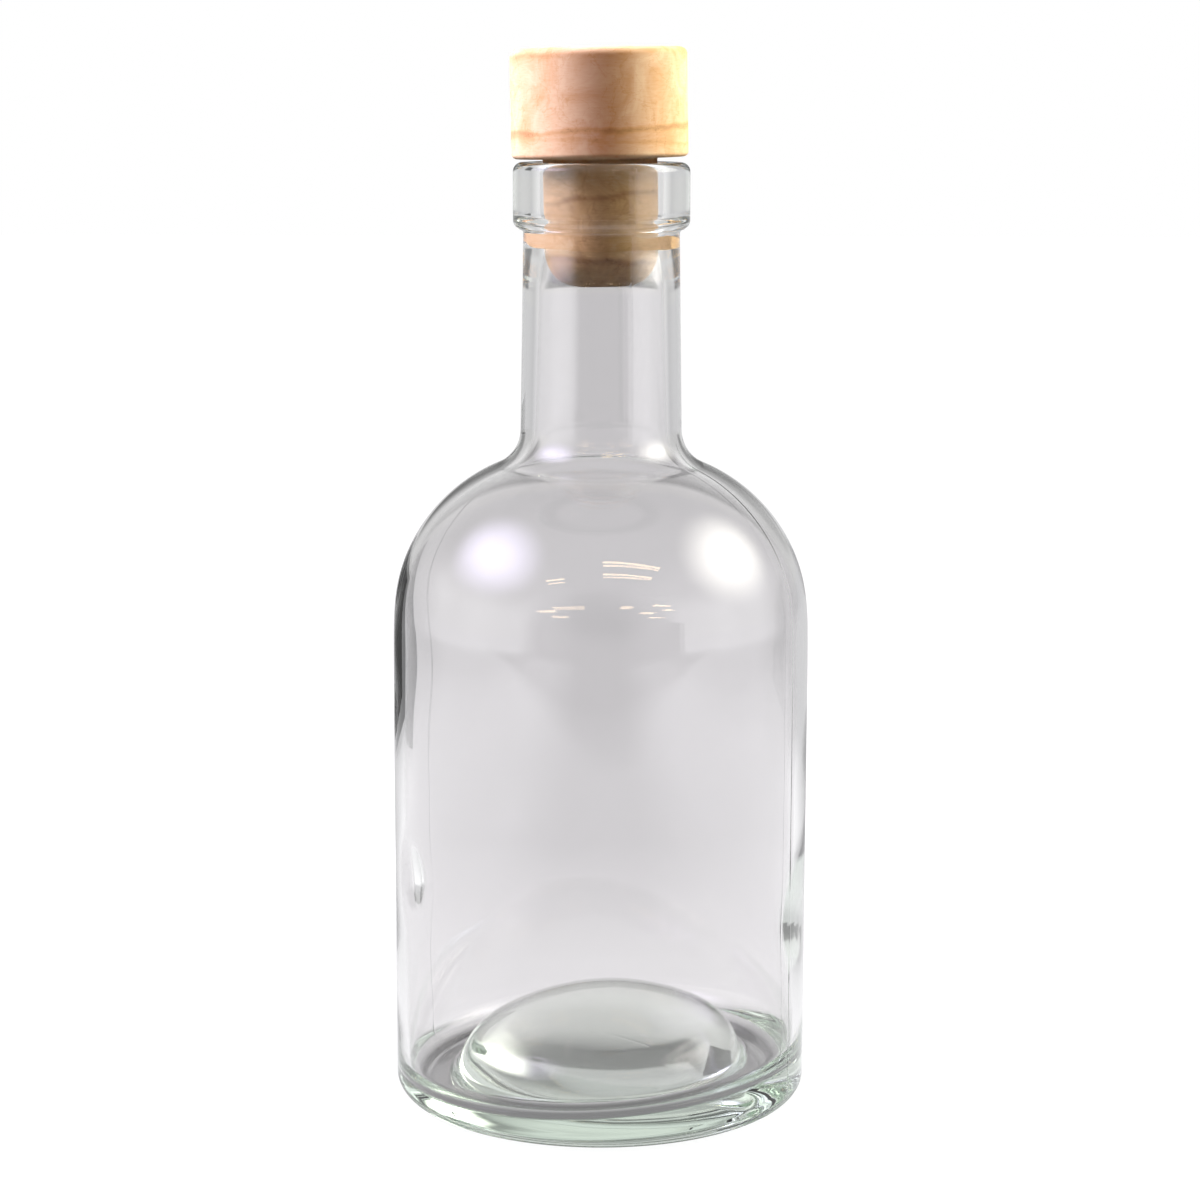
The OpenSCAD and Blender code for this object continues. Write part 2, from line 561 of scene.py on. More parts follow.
    def dome(self) -> Points:
        """The dome on the floor: a flat top, a rounded side and a hollow foot that runs out level.

        Returns:
            Points of radius and height from the top out to the foot.
        """
        top_z = self.floor_h + self.dome_h - self.dome_top_r
        side_x = self.dome_r - self.dome_side_r
        side_z = top_z + math.sqrt((self.dome_top_r - self.dome_side_r) ** 2 - side_x**2)
        turn = math.degrees(math.atan2(side_z - top_z, side_x))
        foot_z = self.floor_h + self.dome_foot_r
        foot_x = side_x + math.sqrt((self.dome_side_r + self.dome_foot_r) ** 2 - (foot_z - side_z) ** 2)
        down = math.degrees(math.atan2(foot_z - side_z, foot_x - side_x))
        outline = Outline(0.0, self.floor_h + self.dome_h)
        outline.arc((0.0, top_z), self.dome_top_r, 90.0, turn, step=0.9)
        outline.arc((side_x, side_z), self.dome_side_r, turn, down, step=4.0)
        outline.arc((foot_x, foot_z), self.dome_foot_r, 180.0 + down, 270.0, step=8.0)
        return outline.points

    def eased(self, outline: Points) -> np.ndarray:
        """Softens the join between the straight wall and the shoulder, as blown glass has it.

        Args:
            outline: Points of radius and height.

        Returns:
            The outline as an array, with the radius averaged over its neighbours near the join.
        """
        points = np.array(outline)
        near = bump_at(points[:, 1] - self.body_h, self.soft_join)
        near *= smooth_step(points[:, 0], *self.soft_join_radii) * self.soft_join_share
        for _ in range(self.soft_join_passes):
            middle = (points[:-2, 0] + points[2:, 0]) / 2
            points[1:-1, 0] += near[1:-1] * (middle - points[1:-1, 0])
        return points

    def angles(self) -> np.ndarray:
        """The angles of the mesh's columns, closer together at the mould seams.

        Returns:
            Angles round the bottle, in degrees.
        """
        even = np.arange(self.columns) * 360.0 / self.columns
        seams = [angle + side for angle in (self.neck_seam, self.body_seam) for side in (0.0, 180.0)]
        close = np.concatenate([(seam + np.array(self.seam_columns)) % 360 for seam in seams])
        clear = np.min(np.abs(turn_from(even[:, None], np.array(seams)[None])), axis=1) > self.seam_margin
        return np.sort(np.concatenate([even[clear], close]))

    def seam(self, angle: np.ndarray, radius: np.ndarray, height: np.ndarray) -> np.ndarray:
        """How far the mould seams stand proud of the outside.

        Args:
            angle: Angles round the bottle, in degrees.
            radius: Distances from the axis.
            height: Heights.

        Returns:
            The ridge's height at each point, in millimetres.
        """
        above = smooth_step(height, self.neck_z - self.seams_change, self.neck_z)
        ridge = np.zeros_like(radius)
        for centre, share in ((self.neck_seam, above), (self.body_seam, 1 - above)):
            for side in (0.0, 180.0):
                across = np.radians(turn_from(angle, centre + side)) * radius
                ridge += bump_at(across, self.seam_width) * share
        return ridge * self.seam_height * smooth_step(height, *self.seam_starts)

    def sway(self, angle: np.ndarray, height: np.ndarray, seed: int, longest: float) -> np.ndarray:
        """The slow unevenness that blowing leaves in a wall, as waves round it that get shorter and weaker.

        Args:
            angle: Angles round the bottle, in degrees.
            height: Heights.
            seed: Picks one pattern, the same in each run.
            longest: About the longest wave up the wall, in millimetres.

        Returns:
            A smooth number for each point, mostly between -1 and 1.
        """
        draw = np.random.default_rng(seed)
        total = np.zeros_like(height)
        first, more = self.sway_shorter
        for turns in self.sway_turns:
            wave = longest / (first + more * turns)
            phase, lift = draw.uniform(0, 2 * math.pi, 2)
            around = np.cos(np.radians(angle) * turns + phase)
            total += around * np.cos(2 * math.pi * height / wave + lift) / turns**self.sway_weaker
        return total * self.sway_level

    def thinness(self, angle: np.ndarray, height: np.ndarray) -> np.ndarray:
        """How much thinner than the plain wall the glass is, seen from inside.

        Args:
            angle: Angles round the bottle, in degrees.
            height: Heights.

        Returns:
            The inner surface's shift outwards at each point, in millimetres.
        """
        shift = self.inner_sway * self.sway(angle, height, self.inner_seed, self.inner_wave)
        shift += self.thin_side * bump_at(turn_from(angle, self.thin_side_azimuth), self.thin_side_turn)
        for lump in self.lumps:
            around = bump_at(turn_from(angle, lump.azimuth), lump.half_turn)
            shift -= lump.depth * around * bump_at(height - lump.height, lump.half_height)
        return shift

    def build(self) -> None:
        """Makes the glass, dresses it and puts it on its body."""
        outer, inner = self.eased(self.outside()), self.eased(self.inside())
        outline = np.concatenate([outer, inner])
        within = np.concatenate([np.zeros(len(outer)), np.ones(len(inner))])
        angle = np.broadcast_to(self.angles(), (len(outline), len(self.angles())))
        radius = np.broadcast_to(outline[:, :1], angle.shape).copy()
        height = np.broadcast_to(outline[:, 1:], angle.shape).copy()
        within = np.broadcast_to(within[:, None], angle.shape)
        uneven = smooth_step(height, *self.uneven_above)
        uneven *= smooth_step(height - self.neck_z, *self.uneven_below)
        radius += (1 - within) * self.seam(angle, radius, height)
        sway = self.outer_sway * self.sway(angle, height, self.outer_seed, self.outer_wave)
        radius += (1 - within) * uneven * sway
        radius += within * uneven * self.thinness(angle, height)
        slant = within * smooth_step(height, *self.slant_fades) * math.tan(math.radians(self.floor_slant))
        around = np.radians(angle)
        x, y = radius * np.sin(around), -radius * np.cos(around)
        piece = revolve("glass_bottle", np.stack([x, y, height + slant * x], axis=-1))
        piece.data.materials.append(self.finish.build())
        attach(piece, "bottle")
        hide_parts("bottle")
        LOG.info("glass bottle: %d faces, %.1f mm high", len(piece.data.polygons), self.height)


@dataclass(frozen=True)
class GrowthLine:
    """One growth line of the wood: a thin dark sheet that crosses the stopper."""

    height: float
    tilt: float
    wave: float
    width: float
    depth: float
    shade: float


@dataclass(frozen=True)
class Figure:
    """One soft random pattern in the wood, by the size of its spots in millimetres."""

    size: float
    detail: float
    roughness: float
    distortion: float = 0.0

    def inputs(self) -> dict[str, float]:
        """The pattern's numbers, by the names that a node gives them."""
        shape = {"Detail": self.detail, "Roughness": self.roughness, "Distortion": self.distortion}
        return shape | {"Scale": 1 / self.size}


@dataclass(frozen=True)
class TurnedMaple:
    """Close-grained pale hardwood such as maple, turned on a lathe and fine sanded.

    It is matt and smooth. Growth lines cross it in wavy sheets, with soft blotches, fine wandering
    veins and short flecks between them. A tone is the darkness that a pattern adds. A painted shade
    darkens the shank below the head, where the head and the neck's glass shade it. Sizes are in
    millimetres of the stopper's own frame.
    """

    pale: str = "#f3d8b0"
    mid: str = "#e2b583"
    mid_tone: float = 0.4
    dark: str = "#a06b3e"
    roughness: float = 0.7
    ior: float = 1.45
    specular: float = 0.04
    lines: tuple[GrowthLine, ...] = (
        GrowthLine(4.3, 0.055, 2.8, 0.8, 3.6, 0.36),
        GrowthLine(2.7, -0.03, 2.0, 0.5, 1.8, 0.14),
        GrowthLine(15.6, 0.02, 2.6, 0.9, 2.5, 0.16),
        GrowthLine(-6.0, 0.10, 3.0, 0.8, 3.0, 0.30),
        GrowthLine(-15.5, -0.08, 3.0, 0.8, 3.0, 0.30),
    )
    line_wave: Figure = Figure(11.0, 3.0, 0.5)
    under_line: float = 0.3
    blotch: Figure = Figure(7.0, 6.0, 0.65, 1.2)
    blotch_tone: Fade = Fade(0.35, 0.75, 0.0, 0.42)
    vein: Figure = Figure(5.0, 4.0, 0.55, 0.8)
    vein_tone: Fade = Fade(0.0, 0.014, 0.15, 0.0)
    # Real fibres and pores are about 0.1 mm wide, too fine to show, so these are twice as wide
    fibre: Figure = Figure(0.22, 4.0, 0.6)
    fibre_stretch: Place = (0.14, 0.14, 1.0)
    fibre_tone: Fade = Fade(0.3, 0.7, -0.05, 0.07)
    fibre_depth: float = 0.02
    fibre_strength: float = 0.5
    fleck_size: float = 0.55
    fleck_stretch: Place = (0.4, 0.4, 1.0)
    fleck_tone: Fade = Fade(0.05, 0.22, 0.10, 0.0)
    # Painted shade: the shank darkens below the head, where the head and the neck's glass shade it
    shank_painted_shade: Fade = Fade(-1.2, 0.2, 0.28, 0.0)

    def line_tone(
        self, tree: bpy.types.NodeTree, line: GrowthLine, axes: bpy.types.Node, wave: bpy.types.Node
    ) -> bpy.types.Node:
        """Draws one growth line: sharp on its upper side, fading on its lower side.

        Args:
            tree: The node tree.
            line: The growth line.
            axes: The node that gives the place's X, Y and Z.
            wave: The noise that the line wanders with.

        Returns:
            The node that gives the darkness that the line adds.
        """
        slope = {0: axes.outputs["X"], 1: -line.tilt, 2: axes.outputs["Z"]}
        tilted = add_node(tree, "Math", slope, operation="MULTIPLY_ADD")
        waved = add_node(tree, "Math", {0: wave, 1: line.wave, 2: tilted}, operation="MULTIPLY_ADD")
        below = add_node(tree, "Math", {0: line.height + line.wave / 2, 1: waved}, operation="SUBTRACT")
        upper_side = Fade(-line.width, 0.0)
        core = Fade(0.0, line.width, 1.0, self.under_line)
        lower_side = Fade(0.0, line.depth, 1.0, 0.0)
        tone: bpy.types.Node | float = line.shade
        for fade in (upper_side, core, lower_side):
            part = add_node(tree, "MapRange", {"Value": below} | fade.ends(), **SMOOTH)
            tone = add_node(tree, "Math", {0: part, 1: tone}, operation="MULTIPLY")
        return tone

    def build(self) -> bpy.types.Material:
        """Makes the material. It reads the place in the stopper's own frame, in millimetres.

        Returns:
            The wood.
        """
        material, tree = new_material("turned_maple")
        place = add_node(tree, "Attribute", attribute_name="wood_place").outputs["Vector"]
        axes = add_node(tree, "SeparateXYZ", {0: place})
        wave = add_node(tree, "TexNoise", {"Vector": place} | self.line_wave.inputs())
        blotch = add_node(tree, "TexNoise", {"Vector": place} | self.blotch.inputs())
        vein = add_node(tree, "TexNoise", {"Vector": place} | self.vein.inputs())
        along_fibre = add_node(tree, "Mapping", {"Vector": place, "Scale": self.fibre_stretch})
        fibre = add_node(tree, "TexNoise", {"Vector": along_fibre} | self.fibre.inputs())
        along_fleck = add_node(tree, "Mapping", {"Vector": place, "Scale": self.fleck_stretch})
        fleck = add_node(tree, "TexVoronoi", {"Vector": along_fleck, "Scale": 1 / self.fleck_size})
        # A vein runs where its pattern crosses the middle level
        level = add_node(tree, "Math", {0: vein, 1: 0.5}, operation="SUBTRACT")
        off_vein = add_node(tree, "Math", {0: level}, operation="ABSOLUTE")
        patterns = (
            (blotch, self.blotch_tone),
            (fibre, self.fibre_tone),
            (fleck, self.fleck_tone),
            (off_vein, self.vein_tone),
        )
        parts = [add_node(tree, "MapRange", {"Value": value} | tone.ends()) for value, tone in patterns]
        # Painted shade on the shank below the head
        painted_shank_shade = {"Value": axes.outputs["Z"]} | self.shank_painted_shade.ends()
        parts.append(add_node(tree, "MapRange", painted_shank_shade, **SMOOTH))
        parts += [self.line_tone(tree, line, axes, wave) for line in self.lines]
        tone = parts[0]
        for part in parts[1:]:
            tone = add_node(tree, "Math", {0: tone, 1: part}, operation="ADD")
        colour = add_node(tree, "ValToRGB", {"Fac": tone})
        shades = [(0.0, linear(self.pale)), (self.mid_tone, linear(self.mid)), (1.0, linear(self.dark))]
        set_stops(colour, shades)
        relief = {"Distance": self.fibre_depth * MM, "Strength": self.fibre_strength}
        bump = add_node(tree, "Bump", {"Height": fibre} | relief)
        surface = add_node(
            tree,
            "BsdfPrincipled",
            {
                "Base Color": colour,
                "Roughness": self.roughness,
                "IOR": self.ior,
                "Specular IOR Level": self.specular,
                "Normal": bump,
            },
        )
        add_node(tree, "OutputMaterial", {"Surface": surface})
        return material


@dataclass
class WoodStopper:
    """The turned stopper: a broad head on a round-ended shank that leans in the neck."""

    glass: GlassBottle
    head_r: float = 13.75
    head_h: float = 16.75
    head_top_r: float = 1.2
    head_bottom_r: float = 0.8
    head_gap: float = 0.7
    shank_r: float = 8.9
    shank_end_r: float = 6.0
    shank_fillet_r: float = 0.4
    shank_out: float = 5.2
    lean: float = 1.15
    # Shares by which the turning is out of round, in two lobes and in five
    two_lobes: float = 0.0012
    five_lobes: float = 0.0008
    lobes_turn: float = 40.0
    columns: int = 160
    finish: TurnedMaple = TurnedMaple()

    @property
    def shank_l(self) -> float:
        """Length of the shank below the head."""
        return self.head_gap + self.glass.seat_depth + self.glass.seat_h + self.shank_out

    def outline(self) -> Points:
        """The half-outline, with height 0 at the head's underside.

        Returns:
            Points of radius and height from the shank's end up to the middle of the head's top.
        """
        outline = Outline(0.0, -self.shank_l)
        end = (self.shank_r - self.shank_end_r, self.shank_end_r - self.shank_l)
        outline.line(end[0], -self.shank_l, step=0.8)
        outline.arc(end, self.shank_end_r, -90.0, 0.0, step=4.0)
        fillet = (self.shank_r + self.shank_fillet_r, -self.shank_fillet_r)
        outline.line(self.shank_r, fillet[1], step=0.8)
        outline.arc(fillet, self.shank_fillet_r, 180.0, 90.0, step=22.5)
        bottom = (self.head_r - self.head_bottom_r, self.head_bottom_r)
        outline.line(bottom[0], 0.0, step=0.8)
        outline.arc(bottom, self.head_bottom_r, -90.0, 0.0, step=7.5)
        top = (self.head_r - self.head_top_r, self.head_h - self.head_top_r)
        outline.line(self.head_r, top[1], step=0.6)
        outline.arc(top, self.head_top_r, 0.0, 90.0, step=6.0)
        outline.line(0.0, self.head_h, step=0.8)
        return outline.points

    def build(self) -> None:
        """Makes the stopper, dresses it and puts it on its body."""
        outline = np.array(self.outline())
        angle = np.arange(self.columns) * 360.0 / self.columns
        radius = np.broadcast_to(outline[:, :1], (len(outline), self.columns)).copy()
        height = np.broadcast_to(outline[:, 1:], radius.shape).copy()
        lobes = self.two_lobes * np.cos(np.radians(2 * angle + self.lobes_turn))
        lobes += self.five_lobes * np.cos(np.radians(5 * angle))
        radius *= 1 + lobes
        around = np.radians(angle)
        own = np.stack([radius * np.sin(around), -radius * np.cos(around), height], axis=-1)
        pivot = np.array([0.0, 0.0, self.glass.seat_mid])
        rise = np.array([0.0, 0.0, self.glass.height + self.head_gap])
        turn = np.array(Matrix.Rotation(-math.radians(self.lean), 3, "Y"))
        piece = revolve("wood_stopper", (own + rise - pivot) @ turn.T + pivot)
        kept = piece.data.attributes.new("wood_place", "FLOAT_VECTOR", "POINT")
        flat = np.concatenate([own[:1, 0], own[1:-1].reshape(-1, 3), own[-1:, 0]])
        kept.data.foreach_set("vector", flat.astype(np.float32).ravel())
        piece.data.materials.append(self.finish.build())
        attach(piece, "stopper")
        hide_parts("stopper")
        LOG.info("wooden stopper: %d faces", len(piece.data.polygons))


def add_panel(
    name: str, corners: list[Place], material: bpy.types.Material, only_in_glass: bool = True
) -> bpy.types.Object:
    """Makes one flat panel of the studio, which isn't part of the object.

    Args:
        name: The panel's name.
        corners: Its four corners, in metres.
        material: Its material.
        only_in_glass: Whether it is hidden from the camera, from matt surfaces and from shadows.

    Returns:
        The panel.
    """
    mesh = bpy.data.meshes.new(name)
    mesh.from_pydata(corners, [], [(0, 1, 2, 3)])
    mesh.materials.append(material)
    panel = add_object(name, mesh)
    panel.visible_camera = not only_in_glass
    panel.visible_diffuse = not only_in_glass
    panel.visible_shadow = not only_in_glass
    return panel


def rectangle(half_x: float, half_y: float) -> list[Place]:
    """The corners of a level rectangle about the origin.

    Args:
        half_x: Half its size along X.
        half_y: Half its size along Y.

    Returns:
        Four corners.
    """
    return [(x * half_x, y * half_y, 0.0) for x, y in ((-1, -1), (1, -1), (1, 1), (-1, 1))]


def glowing(name: str, colour: str, passed: GlassPassed, before: float, after: float) -> bpy.types.Material:
    """Makes a material that glows at one level until a ray has passed so much glass, and at another after.

    Args:
        name: The material's name.
        colour: The glow's colour.
        passed: How much glass makes the difference.
        before: The level for less glass.
        after: The level for that much or more.

    Returns:
        The material.
    """
    material, tree = new_material(name)
    strength = by_glass(tree, passed, before, after)
    glow = add_node(tree, "Emission", {"Color": linear(colour), "Strength": strength})
    add_node(tree, "OutputMaterial", {"Surface": glow})
    return material


@dataclass(frozen=True)
class Lamp:
    """One soft lamp beside the bottle: the glowing cloth that the glass mirrors, and the light itself."""

    name: str
    azimuth: float
    elevation: float
    distance: float
    width: float
    height: float
    glow: float
    colour: str
    light_azimuth: float
    power: float
    core: float = 0.1
    light_size: float = 0.30

    def aim(self, thing: bpy.types.Object, azimuth: float, target: Vector) -> None:
        """Puts a thing at the lamp's height and distance, facing the bottle.

        Args:
            thing: The cloth or the light.
            azimuth: Its angle round the bottle, in degrees.
            target: The point that it faces.
        """
        around, up = math.radians(azimuth), math.radians(self.elevation)
        towards = Vector((math.sin(around) * math.cos(up), -math.cos(around) * math.cos(up), math.sin(up)))
        thing.location = target + towards * self.distance
        thing.rotation_euler = towards.to_track_quat("Z", "Y").to_euler()

    def cloth(self) -> bpy.types.Material:
        """Makes the glowing cloth.

        Returns:
            A material that is brightest in the middle and clear at its rim.
        """
        material, tree = new_material(f"{self.name}_cloth")
        place = add_node(tree, "TexCoord").outputs["Object"]
        scaled = add_node(tree, "Mapping", {"Vector": place, "Scale": (2 / self.width, 2 / self.height, 1.0)})
        out = add_node(tree, "VectorMath", {0: scaled}, operation="LENGTH").outputs["Value"]
        bright = add_node(tree, "MapRange", {"Value": out} | Fade(self.core, 1.0, 1.0, 0.0).ends(), **SMOOTH)
        matt = add_node(tree, "LightPath").outputs["Diffuse Depth"]
        seen = add_node(tree, "Math", {0: bright, 1: matt}, operation="SUBTRACT", use_clamp=True)
        glow = add_node(tree, "Emission", {"Color": linear(self.colour), "Strength": self.glow})
        clear = add_node(tree, "BsdfTransparent")
        surface = add_node(tree, "MixShader", {0: seen, 1: clear, 2: glow})
        add_node(tree, "OutputMaterial", {"Surface": surface})
        return material

    def build(self, target: Vector) -> None:
        """Makes the lamp. The camera doesn't see it.

        Args:
            target: The point that the lamp faces.
        """
        cloth = add_panel(self.name, rectangle(self.width / 2, self.height / 2), self.cloth())
        self.aim(cloth, self.azimuth, target)
        data = bpy.data.lights.new(f"{self.name}_light", "AREA")
        data.size = self.light_size
        data.energy = self.power
        data.color = linear(self.colour)[:3]
        light = add_object(f"{self.name}_light", data)
        light.visible_camera = False
        light.visible_glossy = False
        light.visible_transmission = False
        self.aim(light, self.light_azimuth, target)


@dataclass(frozen=True)
class Card:
    """One dark card that stands upright on the floor. Only the glass sees it.

    It has one level for reflections and one for what is seen through both walls.
    """

    name: str
    start: tuple[float, float]
    end: tuple[float, float]
    height: float
    level: float
    level_through: float

    def build(self) -> None:
        """Makes the card."""
        low, high = (0.0,), (self.height,)
        corners = [self.start + low, self.end + low, self.end + high, self.start + high]
        felt = glowing(f"{self.name}_felt", WHITE, GlassPassed.BOTH_WALLS, self.level, self.level_through)
        add_panel(self.name, corners, felt)


@dataclass(frozen=True)
class CeilingTube:
    """One warm tube lamp on the ceiling of the room, far in front of the bottle. Only the glass sees it."""

    start_x: float
    end_x: float
    y: float
    height: float = 2.4
    width: float = 0.09
    strength: float = 13.0
    strength_deep: float = 2.0
    colour: str = "#ffe0b4"

    def build(self, name: str) -> None:
        """Makes the tube.

        Args:
            name: The object's name.
        """
        near, far = self.y + self.width / 2, self.y - self.width / 2
        ends = [(self.start_x, near), (self.end_x, near), (self.end_x, far), (self.start_x, far)]
        corners = [(x, y, self.height) for x, y in ends]
        levels = (self.strength, self.strength_deep)
        glow = glowing(f"{name}_glow", self.colour, GlassPassed.WALL_AND_FACE, *levels)
        add_panel(name, corners, glow)


@dataclass(frozen=True)
class StudioCamera:
    """The camera, at the photograph's viewing angle. The focal length is in pixels of its frame."""

    focal_px: float = 2911.0
    frame_px: float = 1200.0
    sensor: float = 36.0
    back: float = 456.7
    up: float = 158.5
    side: float = -0.12
    pitch: float = 9.746
    roll: float = 0.12

    def build(self) -> None:
        """Makes the camera."""
        data = bpy.data.cameras.new("camera")
        data.sensor_width = self.sensor
        data.lens = self.focal_px * self.sensor / self.frame_px
        camera = add_object("camera", data)
        camera.location = (self.side * MM, -self.back * MM, self.up * MM)
        look = Euler((math.radians(90 - self.pitch), 0.0, 0.0)).to_matrix()
        spin = Matrix.Rotation(math.radians(self.roll), 3, "Z")
        camera.rotation_euler = (look @ spin).to_euler()
        bpy.context.scene.camera = camera


@dataclass(frozen=True)
class Room:
    """The surroundings: white to the camera, a pale room to the glass and a warm one to the wood.

    The share of a direction is 0 in front of the bottle and 1 behind it. A height is the upward
    part of a direction. What is seen straight through both walls is evened out at the front and the
    sides, so that every side of the glass looks clear.
    """

    walls: Stops = (
        (0.0, 0.15),
        (0.09, 0.18),
        (0.15, 1.6),
        (0.35, 2.1),
        (0.48, 1.8),
        (0.60, 1.6),
        (0.72, 0.9),
        (0.86, 0.58),
        (0.96, 0.70),
        (1.0, 0.715),
    )
    ceiling: Stops = ((0.0, 0.5), (0.3, 0.5), (0.5, 0.4), (0.75, 0.4), (0.9, 1.0), (1.0, 1.0))
    ceiling_height: Fade = Fade(0.15, 0.5)
    gloom: Stops = ((0.0, 1.0), (0.03, 0.25), (0.26, 0.25), (0.31, 1.0))
    gloom_share: Fade = Fade(0.95, 0.985)
    clear_level: float = 0.86
    clear_share: Fade = Fade(0.72, 0.82, 1.0, 0.0)
    fill: str = "#ff9646"
    fill_towards_back: Fade = Fade(-0.9, 0.3, 0.82, 0.05)
    fill_in_glass: float = 0.1

    def share(self, tree: bpy.types.NodeTree, axes: bpy.types.Node) -> bpy.types.Node:
        """Works out how far behind the bottle a direction points.

        Args:
            tree: The node tree.
            axes: The node that gives the direction's X, Y and Z.

        Returns:
            The node that gives the share.
        """
        return add_node(tree, "Math", {0: axes.outputs["Y"], 1: 0.5, 2: 0.5}, operation="MULTIPLY_ADD")

    def through_glass(self, tree: bpy.types.NodeTree, level: Feed, share: Feed) -> bpy.types.Node:
        """Evens out what is seen straight through both walls.

        Args:
            tree: The node tree.
            level: The level that a reflection sees.
            share: The direction's share.

        Returns:
            The node that gives the level for reflections, or the even level straight through.
        """
        passed = by_glass(tree, GlassPassed.BOTH_WALLS, 0.0, 1.0)
        ray = add_node(tree, "LightPath").outputs
        depths = {0: ray["Ray Depth"], 1: ray["Transmission Depth"]}
        mirrored = add_node(tree, "Math", depths, operation="SUBTRACT", use_clamp=True)
        straight = add_node(tree, "Math", {0: passed, 1: mirrored}, operation="SUBTRACT", use_clamp=True)
        aside = add_node(tree, "MapRange", {"Value": share} | self.clear_share.ends(), **SMOOTH)
        both = add_node(tree, "Math", {0: straight, 1: aside}, operation="MULTIPLY")
        return add_node(tree, "Mix", {0: both, 2: level, 3: self.clear_level})

    def seen_by_glass(self, tree: bpy.types.NodeTree, axes: bpy.types.Node) -> bpy.types.Node:
        """Works out the level that the glass sees in each direction.

        Args:
            tree: The world's node tree.
            axes: The node that gives the direction's X, Y and Z.

        Returns:
            The node that gives the level.
        """
        share = self.share(tree, axes)
        high = {"Value": axes.outputs["Z"]} | self.ceiling_height.ends()
        above = add_node(tree, "MapRange", high, **SMOOTH)
        walls, ceiling = (level_at(tree, share, stops) for stops in (self.walls, self.ceiling))
        both = add_node(tree, "Mix", {0: above, 2: walls, 3: ceiling})
        band = level_at(tree, axes.outputs["Z"], self.gloom)
        gloomy = add_node(tree, "Math", {0: both, 1: band}, operation="MULTIPLY")
        behind = add_node(tree, "MapRange", {"Value": share} | self.gloom_share.ends(), **SMOOTH)
        whole = add_node(tree, "Mix", {0: behind, 2: both, 3: gloomy})
        return self.through_glass(tree, whole, share)

    def build(self) -> None:
        """Makes the world."""
        world = bpy.data.worlds.new("studio")
        bpy.context.scene.world = world
        world.use_nodes = True
        tree = world.node_tree
        tree.nodes.clear()
        place = add_node(tree, "TexCoord").outputs["Generated"]
        axes = add_node(tree, "SeparateXYZ", {0: place})
        level = self.seen_by_glass(tree, axes)
        room = add_node(tree, "Background", {"Color": linear(WHITE), "Strength": level})
        ahead = add_node(tree, "MapRange", {"Value": axes.outputs["Y"]} | self.fill_towards_back.ends())
        overhead = add_node(tree, "Math", {0: axes.outputs["Z"], 1: ahead}, operation="MULTIPLY")
        screened = by_glass(tree, GlassPassed.ONE_FACE, 1.0, self.fill_in_glass)
        reaching = add_node(tree, "Math", {0: overhead, 1: screened}, operation="MULTIPLY")
        fill = add_node(tree, "Background", {"Color": linear(self.fill), "Strength": reaching})
        white = add_node(tree, "Background", {"Color": linear(WHITE), "Strength": 1.0})
        ray = add_node(tree, "LightPath").outputs
        soft = add_node(tree, "MixShader", {0: ray["Diffuse Depth"], 1: room, 2: fill})
        mix = add_node(tree, "MixShader", {0: ray["Is Camera Ray"], 1: soft, 2: white})
        add_node(tree, "OutputWorld", {"Surface": mix})


